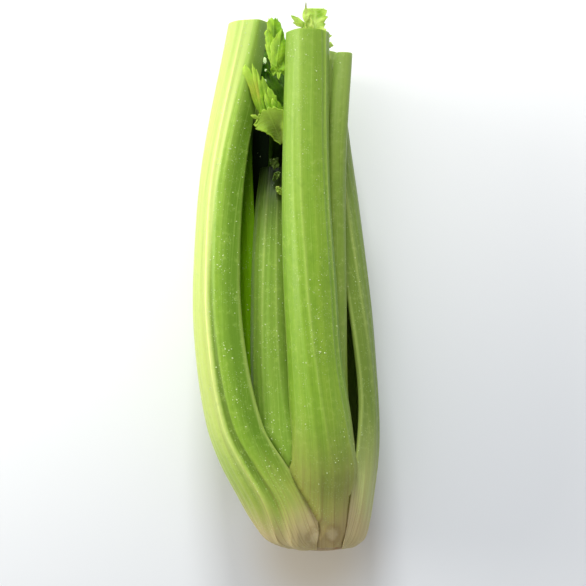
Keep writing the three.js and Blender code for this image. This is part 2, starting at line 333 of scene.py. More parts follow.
def fleshWires(ink):
    place, solid = ink.node("UVMap", {"uv_map": "skin"}), ink.solid()
    deep, run = ink.measured("deep"), ink.measured("run")
    arc = place.part(0) * (1 / mm / cut["spacing"])
    sideways = (arc.maths("FRACT", arc + 0.5) - 0.5) * cut["spacing"]
    fromString = (sideways ** 2 + (deep - cut["depth"]) ** 2) ** 0.5
    grain = solid.noisy(900, 3, 0.6)
    colour = deep.fades(1, 4).mixed(cut["flesh"], cut["pith"]).coated(cut, [
        (deep.fades(0.9, 0.1), "rim"),
        (fromString.fades(0.95, 0.5), "around"),
        (fromString.fades(0.5, 0.3), "string"),
        (grain.fades(0.5, 0.8) * 0.3, "rim"),
        (run.fades(40, 6) * (0.5 + grain * 0.6), "old"),
    ])
    relief = solid.cells(1500) * 0.4 + grain * 0.4 + fromString.fades(0.6, 0.3) * 0.6
    return {"Base Color": colour, "Roughness": 0.42 + grain * 0.2, "Normal": relief.bumped(0.4, 0.3)}


flesh = finish("cut_flesh", {"Subsurface Weight": 0.2, "Subsurface Radius": (0.8, 1, 0.4),
                             "Subsurface Scale": 0.003}, fleshWires)
print("skin and flesh finishes made")

# how every stalk is drawn
stalkForm = {
    "rounds": 6, "capRings": 4,  # facets round a margin and rings on a cut end
    "easing": 1.35,  # above 1, the rings stand closer together near the root
    "marginShare": 0.4, "marginRound": 0.38,  # how thick and how round a margin is, as shares of the wall
    "thinned": 0.85, "thinAcross": (0.65, 1), "thinAlong": (90, 25),  # margins near the root
    "gap": 0.2, "thinnest": 0.35, "grip": 1.12,  # for stalks that clasp others
    "wobble": 0.5, "wobbleInside": 0.4, "swayAcross": 2.2, "swayAlong": 0.021,  # slow unevenness
    "flankAcross": (-0.03, 0.05), "flankAlong": (10, 120),  # where the painted light on the lit flank sets in
    "lineWidth": 0.85, "linedBelow": 3,  # the pale line on ridges narrower than that, partly a painted highlight
    "sharpEdge": 0.75, "lowest": 0.04,
}
grown, wetted = [], []  # courses of the stalks so far, outermost first, and the pieces that carry water


def rowAt(course, distance):
    # a smooth row between the rows of a course, which say distance, x, z, the angle that the back faces,
    # radius, half the angle of the arc, and wall
    i = 0
    while i < len(course) - 2 and distance > course[i + 1][0]:
        i += 1
    here, after = course[i], course[i + 1]
    before, beyond = course[max(i - 1, 0)], course[min(i + 2, len(course) - 1)]
    span = after[0] - here[0]
    k = (distance - here[0]) / span
    row = []
    for j, value in enumerate(here):
        leave = (after[j] - before[j]) / (after[0] - before[0])
        arrive = (beyond[j] - value) / (beyond[0] - here[0])
        row.append((2 * k**3 - 3 * k**2 + 1) * value + (3 * k**2 - 2 * k**3) * after[j]
                   + span * ((k**3 - 2 * k**2 + k) * leave + (k**3 - k**2) * arrive))
    return row


def wallAt(wall, across):
    return wall * (1 - (1 - stalkForm["marginShare"]) * min(abs(across), 1) ** 2)


def aroundSection(i, facets):
    # ribbed face, margin, channel face, other margin: across, depth and how far round the margin
    rounds = stalkForm["rounds"]
    if i <= facets:
        return -1 + 2 * i / facets, 1, 0
    if i <= facets + rounds:
        turn = math.pi * (i - facets) / rounds
        return 1, (1 + math.cos(turn)) / 2, math.sin(turn)
    if i <= 2 * facets + rounds:
        return 1 - 2 * (i - facets - rounds) / facets, 0, 0
    turn = math.pi * (i - 2 * facets - rounds) / rounds
    return -1, (1 - math.cos(turn)) / 2, math.sin(turn)


def threeWay(share, low, middle, high):
    return blendOf(low, middle, share * 2) if share < 0.5 else blendOf(middle, high, share * 2 - 1)


def ribRise(stalk, across, share, halfArc):
    # each rib or ridge: across at root, middle and top, half width, rise at root, middle and top
    rise, line = 0, 0
    for *places, halfWidth, low, middle, high in stalk["ribs"]:
        off = (across - threeWay(share, *places)) * halfArc / halfWidth
        if abs(off) < 3:  # further off nothing is left of a rib
            rise += threeWay(share, low, middle, high) * math.exp(-off * off)
    # a ridge has a crest like a roof, and a narrow one has a pale line along it, partly the ridge's paler
    # colour and partly a painted highlight on the crest
    for *places, halfWidth, low, middle, high in stalk["ridges"]:
        off = (across - threeWay(share, *places)) * halfArc
        height = threeWay(share, low, middle, high)
        rise += height * math.exp(0.3 - 1.5 * math.sqrt((off / halfWidth) ** 2 + 0.04))
        if halfWidth < stalkForm["linedBelow"]:
            line += min(height, 1) * math.exp(-(off / stalkForm["lineWidth"]) ** 2)
    fine = math.cos(across * stalk["fineRibs"] * math.pi + stalk["seed"])
    return rise, line, rise + stalk["fineRise"] * math.sqrt(fine * fine + 0.03)


def clasped(x, z, keep, outer):
    # a point inside the wall of a stalk that grew before this one moves to the hollow side of that wall,
    # and a point just outside it follows part of the way
    for (_, middleX, middleZ, facing, radius, wrap, wall), follow in outer:
        dx, dz = x - middleX, z - middleZ
        reach = math.hypot(dx, dz)
        if reach > radius + follow or reach < radius - wall - stalkForm["gap"] - keep:
            continue
        turn = math.atan2(dz, dx) - math.radians(facing)
        across = abs((turn + math.pi) % (2 * math.pi) - math.pi) / math.radians(wrap)
        hold = smoothstep(stalkForm["grip"], 1, across)
        limit = radius - (wallAt(wall, across) + stalkForm["gap"] + keep) * hold
        limit = blendOf(limit, reach, smoothstep(0, follow, reach - radius))
        if hold > 0 and reach > limit:
            x, z = middleX + dx * limit / reach, middleZ + dz * limit / reach
    return x, z


def ringOf(stalk, distance, outer):
    # one closed section of a stalk: at each place round it the point, and the numbers that colour it
    _, middleX, middleZ, facing, radius, wrap, wall = rowAt(stalk["course"], distance)
    start, end = stalk["course"][0][0], stalk["course"][-1][0]
    share = (distance - start) / (end - start)
    halfArc = radius * math.radians(wrap)
    ring = []
    for i in range(2 * (stalk["facets"] + stalkForm["rounds"]) + 1):
        across, depth, rounding = aroundSection(i, stalk["facets"])
        thickness = wallAt(wall, across)
        # near the root the margins thin out and lie flat on their neighbours
        thinned = stalkForm["thinned"] * (smoothstep(*stalkForm["thinAcross"], abs(across))
                                          * smoothstep(*stalkForm["thinAlong"], distance))
        swing = stalkForm["marginRound"] * thickness * (1 - thinned) * rounding / radius
        angle = math.radians(facing) + across * (math.radians(wrap) + swing)
        rib, line, rise = ribRise(stalk, across, share, halfArc)
        fade = (1 - abs(across) ** 6) * depth
        sway = noise.noise(Vector((across * stalkForm["swayAcross"], distance * stalkForm["swayAlong"],
                                   stalk["seed"] + 5 * depth)))
        sway *= stalkForm["wobble"] * blendOf(stalkForm["wobbleInside"], 1, depth)
        proud = (rise - stalk["sunk"]) * fade + sway
        reach = radius + proud - thickness * (1 - depth + thinned * depth)
        x, z = middleX + reach * math.cos(angle), middleZ + reach * math.sin(angle)
        x, z = clasped(x, z, stalkForm["thinnest"] * thickness * (1 - depth), outer)
        # the flank that faces the window lamp, where light is painted into the colour
        litFlank = (smoothstep(*stalkForm["flankAcross"], across - threeWay(share, *stalk["litFlank"]))
                 * smoothstep(*stalkForm["flankAlong"], distance))
        ring.append((Vector((x, distance, z)), across * halfArc, {
            "rib": max(min(rib, 1), -1) * depth, "line": min(line, 1) * depth, "litFlank": litFlank * depth,
            "hollow": 1 - depth, "margin": abs(across), "deep": thickness * (1 - depth),
            "run": distance, "left": end - distance}))
    return ring


def addObject(name, bm, materials, replaced):
    # the object that shows a mesh, riding on the head
    mesh = bpy.data.meshes.new(name)
    bm.to_mesh(mesh)
    bm.free()
    for material in materials:
        mesh.materials.append(material)
    piece = bpy.data.objects.new(name, mesh)
    scene.collection.objects.link(piece)
    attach(piece, "root")
    if replaced:
        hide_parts(replaced)
    return piece


def markSharp(bm, angle):
    # smooth, but for the edges that fold by more than this angle
    for face in bm.faces:
        face.smooth = True
    for edge in bm.edges:
        if len(edge.link_faces) == 2 and edge.calc_face_angle(0) > angle:
            edge.smooth = False


def makeStalk(name, stalk, skin):
    facets, lengths, capRings = stalk["facets"], stalk["lengths"], stalkForm["capRings"]
    around, along = 2 * (facets + stalkForm["rounds"]), lengths + 2 * capRings
    start, end = stalk["course"][0][0], stalk["course"][-1][0]
    rings = []
    for j in range(lengths + 1):
        distance = start + (end - start) * (j / lengths) ** stalkForm["easing"]
        outer = [(rowAt(course, distance), follow) for course, follow in grown
                 if course[0][0] <= distance <= course[-1][0]]
        rings.append(ringOf(stalk, distance, outer))
    bm = bmesh.new()
    bmesh.ops.create_grid(bm, x_segments=around, y_segments=along, size=0.5)
    layers = {label: bm.verts.layers.float.new(label) for label in rings[0][0][2]}
    uv = bm.loops.layers.uv.new("skin")
    arcs, rows = {}, {}
    for vert in bm.verts:
        i, j = round((vert.co.x + 0.5) * around), round((vert.co.y + 0.5) * along) - capRings
        ring = rings[min(max(j, 0), lengths)]
        point, arc, numbers = ring[i]
        inset = max(-j, j - lengths, 0) / capRings
        if inset > 0:
            # the cut end closes on the line halfway between the two faces
            step = round((aroundSection(i, facets)[0] + 1) / 2 * facets)
            front, back = ring[step][0], ring[2 * facets + stalkForm["rounds"] - step][0]
            wall = (front - back).length
            hollowOut = stalk["dish"] * math.sin(inset * math.pi / 2) * (1 if j < 0 else -1)
            point = point.lerp((front + back) / 2, inset) + Vector((0, hollowOut, 0))
            numbers = {**numbers, "deep": blendOf(numbers["deep"], wall / 2, inset)}
        vert.co = spot(*point)
        vert.co.z = max(vert.co.z, stalkForm["lowest"] * mm)  # just clear of the floor
        for label, layer in layers.items():
            vert[layer] = numbers[label]
        arcs[vert], rows[vert] = arc, j
    for face in bm.faces:
        middle = sum(rows[vert] for vert in face.verts) / 4
        face.material_index = 0 if 0 < middle < lengths else 1
        for loop in face.loops:
            loop[uv].uv = (arcs[loop.vert] * mm, loop.vert[layers["run"]] * mm)
    bmesh.ops.remove_doubles(bm, verts=bm.verts, dist=touching)
    bmesh.ops.recalc_face_normals(bm, faces=bm.faces)
    markSharp(bm, stalkForm["sharpEdge"])
    grown.append((stalk["course"], stalk["follow"]))
    wetted.append(addObject(name + "_shape", bm, [skin, flesh], name))


plainRibs = {"outermost": 0.9, "drift": 0.3, "rises": (0.5, 1.25), "widths": (0.8, 1.3)}


def evenRibs(count, halfWidth, rise):
    # ribs spread evenly from margin to margin, none quite like its neighbour
    ribs = []
    for n in range(count):
        across = -plainRibs["outermost"] + 2 * plainRibs["outermost"] * (n + 0.5) / count
        drift = plainRibs["drift"] * (1 - across * across)  # sideways, from root to top
        heights = [rise * chance.uniform(*plainRibs["rises"]) for _ in range(3)]
        width = halfWidth * chance.uniform(*plainRibs["widths"])
        ribs.append((across - drift / 2, across, across + drift / 2, width, *heights))
    return ribs


plainStalk = {"facets": 96, "lengths": 90, "fineRibs": 20, "fineRise": 0.06, "sunk": 0.2, "ridges": [],
              "litFlank": (2, 2, 2), "dish": 0.7, "follow": 0.3}

# the long stalk that bows out to the left
outerLeft = {
    **plainStalk, "facets": 120, "lengths": 110, "seed": 1.7, "fineRibs": 21, "follow": 1.7,
    "course": [
        [0.8, 14, 37, 160, 20, 76, 6], [4, 12, 37, 159, 24.5, 79, 9],
        [13, 8.5, 37, 152.5, 28, 81.5, 10], [28, 0.5, 37.5, 146.5, 28.5, 85.5, 9],
        [46, -11, 38.5, 146.5, 26.2, 84.5, 9], [66, -20.5, 40, 149, 23.5, 80, 9.5],
        [100, -28.4, 42, 148, 20.7, 78, 10], [145, -32.8, 43, 145, 18, 79, 10],
        [205, -31, 43, 138, 15.3, 84, 9.5], [282, -20.1, 47, 112, 11.3, 86, 8],
    ],
    "ribs": [
        (-0.27, -0.18, 0, 1.5, -0.3, -0.6, -0.15), (-0.6, -0.49, -0.3, 1.2, 0.5, 0.45, 0.1),
        (-0.5, -0.41, -0.2, 3, -1.2, -0.4, -0.1), (-0.79, -0.74, -0.62, 1.3, 0.5, 0.1, 0.1),
        (-0.7, -0.62, -0.45, 1.2, 0.3, 0.1, 0.1), (-0.18, -0.09, 0.12, 1.3, 0.4, 0.35, 0.2),
        (-0.06, 0.03, 0.24, 1.4, 0.3, 0.25, 0.15), (0.06, 0.17, 0.36, 1.4, 0.4, 0.35, 0.2),
        (0.24, 0.33, 0.48, 1.6, 0.35, 0.3, 0.2), (0.43, 0.5, 0.61, 1.6, 0.35, 0.3, 0.2),
        (0.62, 0.67, 0.74, 1.6, 0.35, 0.3, 0.2), (0.8, 0.83, 0.86, 1.4, 0.3, 0.3, 0.2),
    ],
    "ridges": [(-0.37, -0.29, -0.11, 1.2, 0.8, 1.1, 0.3), (-0.5, -0.54, -0.53, 4.5, 0, 0.1, 1.8)],
    "litFlank": (-0.4, -0.36, -0.42),
}
makeStalk("outer_left_stalk", outerLeft, outerSkin)

# the stalks that the head lies on come next, with the one that bows out to the right
underRight = {
    **plainStalk, "seed": 2.4, "ribs": evenRibs(11, 1.5, 0.35),
    "course": [
        [1, 19, 37, 284, 20.5, 46, 5], [5, 19, 37, 284, 26, 46, 6],
        [13, 19.5, 37, 284, 30, 46, 7.5], [27, 20, 36, 284, 32, 46, 7.5],
        [50, 20, 29.5, 284, 28, 52, 8], [90, 19, 20.5, 285, 20, 64, 9],
        [150, 17, 16.5, 288, 15.8, 80, 9], [210, 14, 14.5, 286, 13.8, 84, 8.5],
        [266, 12, 12.5, 286, 11.8, 84, 7.5],
    ],
}
makeStalk("under_right_stalk", underRight, underSkin)

outerRight = {
    **plainStalk, "facets": 112, "lengths": 100, "seed": 0.6,
    "ribs": evenRibs(9, 1.4, 0.3), "ridges": [(0.6, 0.68, 0.74, 2.2, 0.2, 0.4, 0.7)],
    "course": [
        [0.8, 18.5, 37, -8, 21, 64, 5], [4, 17.8, 37, -8, 25, 66, 6.5],
        [13, 18.5, 37, -8, 27, 66, 6.5], [28, 20, 37, -8, 28, 67, 6],
        [50, 26.5, 37, -11, 23.9, 73, 6.5], [78, 32.4, 37.5, -12, 17.8, 76, 9],
        [110, 31.3, 37.5, -9, 16.6, 78, 9], [148, 28.5, 37, -2, 15.8, 82, 9],
        [216, 21.5, 37, 0, 13.5, 86, 8.5], [268, 17, 37, 0, 12, 86, 7.5],
    ],
}
makeStalk("outer_right_stalk", outerRight, rightSkin)

underLeft = {
    **plainStalk, "seed": 3.1, "ribs": evenRibs(11, 1.5, 0.35),
    "course": [
        [2, 17, 37, 232, 18, 54, 4], [12, 13, 36, 232, 23, 54, 6], [27, 8, 34, 234, 26, 54, 7.5],
        [50, -4.5, 29, 238, 26.5, 56, 8.5], [90, -11, 21.5, 245, 21, 68, 9.5],
        [150, -17, 17, 245, 16.5, 82, 9.5], [210, -17, 14.5, 245, 14, 86, 9],
        [260, -14, 12.5, 248, 12, 86, 8],
    ],
}
makeStalk("under_left_stalk", underLeft, underSkin)

# the stalk on top
front = {
    **plainStalk, "facets": 120, "lengths": 150, "seed": 0.2, "fineRibs": 19,
    "course": [
        [2.5, 19.5, 37, 92, 19.5, 66, 3.5], [8, 19.5, 38, 92, 21.5, 68, 4.5],
        [16, 19.4, 42.8, 92, 20.6, 72, 6], [30, 19.6, 47.4, 92, 19.6, 80, 7.5],
        [45, 20, 52.4, 92, 19.8, 88, 8.5], [64, 18.6, 58.6, 92, 17.4, 84, 9],
        [98, 15, 64.5, 92, 14.4, 86, 9.5], [138, 12.3, 66, 92, 13.8, 87, 9.5],
        [198, 9.9, 66, 92, 12.6, 88, 9], [273, 10.9, 65, 92, 11.2, 88, 8],
    ],
    "ribs": [
        (0.02, 0.24, 0.45, 1.4, 0.3, 0.3, 0.1), (0.42, 0.42, 0.34, 1.8, 0.25, 0.2, 0.15),
        (-0.14, 0.12, 0.3, 1.6, -0.1, -0.15, -0.05), (-0.58, -0.57, -0.44, 1, 0.35, 0.3, 0.2),
        (-0.42, -0.28, -0.17, 1.3, 0.3, 0.12, 0.08), (-0.7, -0.66, -0.55, 1.1, -0.3, -0.2, -0.25),
        (0.62, 0.66, 0.7, 1.5, 0.3, 0.2, 0.15), (0.8, 0.85, 0.9, 1.3, 0.3, 0.3, 0.2),
    ],
    "ridges": [(-0.26, 0.05, 0.19, 1.3, 0.3, 0.4, 0), (-0.1, 0.12, 0.2, 4.5, 0, 0.15, 1.2),
               (-0.84, -0.76, -0.63, 0.9, 0.3, 0.5, 0.6)],
}
makeStalk("front_stalk", front, frontSkin)
print("outer stalks grown")

# the next layer, of which only parts show between the outer stalks
plainInner = {**plainStalk, "facets": 64, "lengths": 70, "fineRibs": 15, "fineRise": 0.05,
              "sunk": 0.15, "dish": 0.6}
innerStalks = {
    "inner_left_stalk": {
        "seed": 1.1, "ribs": evenRibs(9, 1.2, 0.25),
        "course": [
            [14, 15, 37, 184, 17, 60, 5], [30, 8, 36, 180, 19, 66, 6], [58, -6, 34, 174, 16, 74, 7],
            [100, -14, 32, 170, 13, 80, 7], [150, -17.5, 31.5, 170, 12, 84, 7],
            [210, -20, 30, 178, 10.5, 88, 7], [252, -20, 29, 184, 9.4, 90, 6.5],
        ],
    },
    "upper_right_stalk": {
        "facets": 80, "lengths": 90, "seed": 2.2, "ribs": evenRibs(7, 1.1, 0.2), "skin": sideSkin,
        "course": [
            [18, 22, 39, 48, 14, 64, 4.5], [42, 25, 45.5, 48, 12, 76, 5], [78, 24.8, 52, 46, 8, 90, 5.5],
            [138, 25, 56, 42, 6.6, 100, 5.4], [213, 25.4, 57, 40, 6.2, 104, 5],
            [264, 29.4, 57, 40, 5.3, 104, 4.4],
        ],
    },
    "inner_under_stalk": {
        "seed": 0.4, "ribs": evenRibs(8, 1.2, 0.25),
        "course": [
            [18, 17, 37, 268, 17, 56, 5], [38, 13, 34, 268, 17.5, 62, 6], [78, 5, 28, 268, 14, 74, 7],
            [150, 1, 26, 270, 12, 82, 7], [210, 0, 24, 270, 10.8, 86, 7], [255, 1, 22, 270, 9.4, 88, 6.5],
        ],
    },
    "inner_upper_stalk": {
        "facets": 96, "lengths": 90, "seed": 2.9, "skin": innerSkin,
        "ribs": [(-0.2, -0.16, -0.1, 1.2, 0.1, 0.25, 0.2), (0.5, 0.45, 0.4, 1.5, 0.2, 0.3, 0.4),
                 (0.3, 0.25, 0.2, 1.3, 0.2, 0.2, 0.2), (0.75, 0.75, 0.72, 1.5, 0.2, 0.3, 0.3),
                 (-0.8, -0.75, -0.7, 1.5, 0.2, 0.3, 0.3), (-0.05, -0.06, -0.05, 1.2, -0.1, -0.25, -0.3)],
        "ridges": [(0.1, 0.07, 0.05, 1.2, 0.1, 0.3, 0.6), (-0.62, -0.43, -0.32, 1.1, 0.1, 0.3, 0.3)],
        "course": [
            [20, 14, 41, 125, 17.5, 58, 4.5], [46, 2, 45, 122, 17, 68, 5.5], [88, -5.6, 46, 116, 13.6, 78, 7],
            [138, -7.6, 46, 112, 11.6, 82, 7], [184, -7, 43, 108, 10, 84, 6.5],
            [206, -6.2, 36, 106, 8.6, 84, 5],
        ],
    },
    "inner_right_stalk": {
        "seed": 1.9, "ribs": evenRibs(8, 1.1, 0.22),
        "course": [
            [24, 19, 38, -10, 13, 60, 4.5], [52, 18, 37, -8, 13, 70, 5.5], [98, 17, 36, -5, 11.5, 80, 6.5],
            [158, 14, 36, -2, 10, 86, 6.5], [244, 10, 36, 0, 8.6, 88, 6],
        ],
    },
    "thin_stalk": {
        "facets": 48, "seed": 0.9, "ribs": evenRibs(5, 0.8, 0.25), "skin": sideSkin,
        "course": [
            [30, 19, 45, 75, 6.5, 80, 3.5], [78, 19, 54, 75, 4.8, 100, 3.6],
            [148, 18, 58.5, 75, 4.2, 110, 3.6], [261, 20.3, 58.5, 60, 3.6, 120, 3.2],
        ],
    },
}
for name, stalk in innerStalks.items():
    makeStalk(name, {**plainInner, **stalk}, stalk.get("skin", deepSkin))

plainHeart = {**plainInner, "facets": 36, "lengths": 50, "fineRibs": 9, "fineRise": 0.04,
              "sunk": 0.1, "dish": 0.4}
heartStalks = {
    "heart_stalk_1": {
        "seed": 0.3, "ribs": evenRibs(6, 0.9, 0.2),
        "course": [
            [28, 15, 37, 215, 10, 66, 3.8], [68, 4, 37, 220, 8, 84, 4.6],
            [138, -3, 36, 225, 6.6, 96, 4.8], [198, -1, 37, 225, 5, 104, 4],
        ],
    },
    "heart_stalk_2": {
        "seed": 1.3, "ribs": evenRibs(6, 0.9, 0.2),
        "course": [
            [30, 16, 38, 82, 9, 66, 3.6], [68, 11, 46, 85, 7, 90, 4.6],
            [138, 10.5, 52.5, 90, 6.2, 100, 4.8], [238, 9.5, 53, 95, 5, 110, 4],
        ],
    },
    "heart_stalk_3": {
        "seed": 2.3, "ribs": evenRibs(5, 0.8, 0.2),
        "course": [
            [31, 17, 37, 305, 8, 66, 3.4], [68, 12, 36, 310, 6.6, 90, 4],
            [138, 6, 37, 315, 5.6, 104, 4.2], [192, 5, 38, 320, 4.5, 110, 3.4],
        ],
    },
}
for name, stalk in heartStalks.items():
    makeStalk(name, {**plainHeart, **stalk}, heartSkin)
print("inner and heart stalks grown")

# root plate: a short turned stem, trimmed flat
root = {
    "profile": [(0, 0.5), (7, 0.3), (12, 0.1), (16.5, 0), (17.7, 1), (19, 4), (19.4, 8), (18.4, 13),
                (16, 20), (11, 28), (5, 34), (0, 35.3)],
    "steps": 96, "sharpEdge": 1.2,
    "coarse": 160, "coarseShare": 0.6, "fine": 420, "fineShare": 0.4, "swell": 0.05, "lumps": 0.5,
    "cream": (206, 194, 150), "tan": (176, 142, 96), "brown": (140, 100, 62), "pale": (224, 216, 178),
}


def rootWires(ink):
    place = ink.solid()
    local = place.node("Mapping", {}, {"Vector": place, "Location": -spot(rootX, 0, rootZ)})
    radius = (local.part(0) ** 2 + local.part(2) ** 2) ** 0.5 * (1 / mm)
    clouds, fine, cells = place.noisy(140, 4, 0.6), place.noisy(900, 3, 0.6), place.cells(520)
    rings = ink.maths("SINE", radius * 1.3 + clouds * 9) * 0.5 + 0.5
    colour = clouds.fades(0.35, 0.7).mixed(root["cream"], root["tan"]).coated(root, [
        (rings * 0.3, "pale"),
        (cells.fades(0.35, 0.1) * 0.4, "pale"),
        (fine.fades(0.55, 0.8) * 0.5, "brown"),
        (radius.fades(14, 18) * local.part(1).fades(4 * mm, mm) * 0.55, "brown"),
    ])
    relief = cells * 0.4 + fine * 0.5 + rings * 0.3
    return {"Base Color": colour, "Roughness": 0.6 + fine * 0.25, "Normal": relief.bumped(0.5, 0.6)}


rootFinish = finish("root_cut", {"Subsurface Weight": 0.12, "Subsurface Scale": 0.003}, rootWires)


def makeRoot():
    bm = bmesh.new()
    line = [bm.verts.new((radius * mm, distance * mm, 0)) for radius, distance in root["profile"]]
    edges = [bm.edges.new(pair) for pair in zip(line, line[1:])]
    bmesh.ops.spin(bm, geom=line + edges, cent=(0, 0, 0), axis=(0, 1, 0), angle=2 * math.pi,
                   steps=root["steps"], use_merge=True)
    bmesh.ops.remove_doubles(bm, verts=bm.verts, dist=touching)
    lengthwise = [edge for edge in bm.edges if abs(edge.verts[0].co.y - edge.verts[1].co.y) > touching
                  or abs(edge.verts[0].co.xz.length - edge.verts[1].co.xz.length) > touching]
    bmesh.ops.subdivide_edges(bm, edges=lengthwise, cuts=2)
    for vert in bm.verts:
        rough = (noise.noise(vert.co * root["coarse"]) * root["coarseShare"]
                 + noise.noise(vert.co * root["fine"]) * root["fineShare"])
        vert.co += Vector((vert.co.x, 0, vert.co.z)) * rough * root["swell"]
        vert.co.y += abs(rough) * root["lumps"] * mm
    bmesh.ops.translate(bm, verts=bm.verts, vec=spot(rootX, 0, rootZ))
    bmesh.ops.recalc_face_normals(bm, faces=bm.faces)
    markSharp(bm, root["sharpEdge"])
    addObject("root_plate_shape", bm, [rootFinish], "root_plate")


makeRoot()
print("root plate turned")

# leaves: each is one or more thin blades, from base to tip, with teeth along their edges
leafForm = {"facetsPerMm": 2, "fewest": 12, "thickness": 0.32, "sharpEdge": 1.4, "veinSpan": 14,
            "lobes": 0.12, "scallopDepth": 0.09, "layers": ("foldShade", "straw", "dried", "pale"),
            "strawMiddle": 0.45, "strawSpread": 0.2, "driedFrom": (0.55, 0.9), "paleFrom": (0.3, 1)}
leafTone = {
    "blade": (110, 158, 8), "light": (144, 188, 28), "deep": (78, 114, 4), "vein": (170, 200, 80),
    "straw": (186, 188, 60), "tip": (120, 104, 50), "glow": 0.2, "pale": (186, 222, 78),
}
oliveTone = {**leafTone, "blade": (116, 146, 22), "light": (142, 172, 46), "deep": (80, 96, 10)}
# a darker copy of the leaf colours: painted shade for the leaf that lies in shadow between the stalks
darkTone = {**leafTone, "blade": (76, 118, 4), "light": (100, 148, 12), "deep": (26, 52, 2),
            "vein": (104, 146, 34)}
paleTone = {**leafTone, "blade": (150, 182, 50), "light": (178, 202, 92), "deep": (118, 156, 26),
            "vein": (204, 224, 140)}
wiltedTone = {
    "blade": (66, 88, 24), "light": (116, 142, 56), "deep": (28, 42, 8), "vein": (128, 150, 76),
    "straw": (168, 148, 66), "tip": (92, 78, 36), "glow": 0.1, "pale": (140, 156, 80),
}


def leafFinish(name, tone):
    def wires(ink):
        place, solid = ink.node("UVMap", {"uv_map": "blade"}), ink.solid()
        sideways = ink.maths("ABSOLUTE", place.part(0) - 0.5) * 2
        clouds, fine = solid.noisy(170, 3, 0.55), solid.noisy(1400, 3, 0.6)
        slant = place.part(1) * 7 - sideways * 1.5 + clouds * 0.5
        branch = ink.maths("ABSOLUTE", ink.maths("FRACT", slant) - 0.5)
        veins = ink.maths("MAXIMUM", branch.fades(0.1, 0.02) * 0.7, sideways.fades(0.12, 0.02) * 0.8)
        net = solid.cells(900, "DISTANCE_TO_EDGE").fades(0.12, 0.02)
        uneven = 0.6 + clouds * 0.5
        colour = clouds.fades(0.35, 0.65).mixed(tone["blade"], tone["light"]).coated(tone, [
            (ink.measured("foldShade").fades(0.3, 1) * 0.75, "deep"),
            (fine.fades(0.45, 0.75) * 0.15, "deep"),
            (net * 0.1, "vein"),
            (veins * 0.2, "vein"),
            (sideways.fades(0.8, 1) * 0.3, "light"),
            # partly painted light on the rims and sides that face the lamps
            (ink.measured("pale") * uneven, "pale"),
            (ink.measured("straw") * uneven, "straw"),
            (ink.measured("dried"), "tip"),
        ])
        relief = veins * 0.8 + net * 0.25 + fine * 0.3
        return {"Base Color": colour, "Roughness": 0.42 + fine * 0.2, "Normal": relief.bumped(0.55, 0.5)}

    constants = {"Subsurface Weight": tone["glow"], "Subsurface Radius": (0.5, 1.0, 0.1),
                 "Subsurface Scale": 0.002, "Specular IOR Level": 0.25}
    return finish(name, constants, wires)


freshLeaf = leafFinish("fresh_leaf", leafTone)
oliveLeaf = leafFinish("olive_leaf", oliveTone)
paleLeaf = leafFinish("pale_leaf", paleTone)
shadedLeaf = leafFinish("shaded_leaf", darkTone)
wiltedLeaf = leafFinish("wilted_leaf", wiltedTone)

# profile rows are share of the length from base to tip and share of the half width there
ovate = [(0, 0.1), (0.15, 0.55), (0.4, 1), (0.65, 0.9), (0.85, 0.5), (1, 0.03)]
strap = [(0, 0.7), (0.3, 1), (0.6, 0.85), (0.85, 0.5), (1, 0.05)]
square = [(0, 0.9), (0.5, 1), (1, 1)]
plainBlade = {"left": ovate, "right": ovate, "teeth": 6, "toothLeft": 0.16, "toothRight": 0.16, "roll": 0,
              "cup": 0, "keel": 0, "bow": 0, "wave": 0.3, "waves": 2.5, "straw": 0, "dried": 0, "shade": 0,
              "fan": 0, "scallops": 0, "pale": 0, "paleSide": 0}
strapBlade = {**plainBlade, "left": strap, "right": strap}
squareBlade = {**plainBlade, "left": square, "right": square}


def blade(kind, base, tip, width, seed, **own):
    return {**kind, "base": base, "tip": tip, "width": width, "seed": seed, **own}


def profileAt(profile, share):
    for (low, here), (high, after) in zip(profile, profile[1:]):
        if share <= high:
            return blendOf(here, after, smoothstep(low, high, share))
    return profile[-1][1]


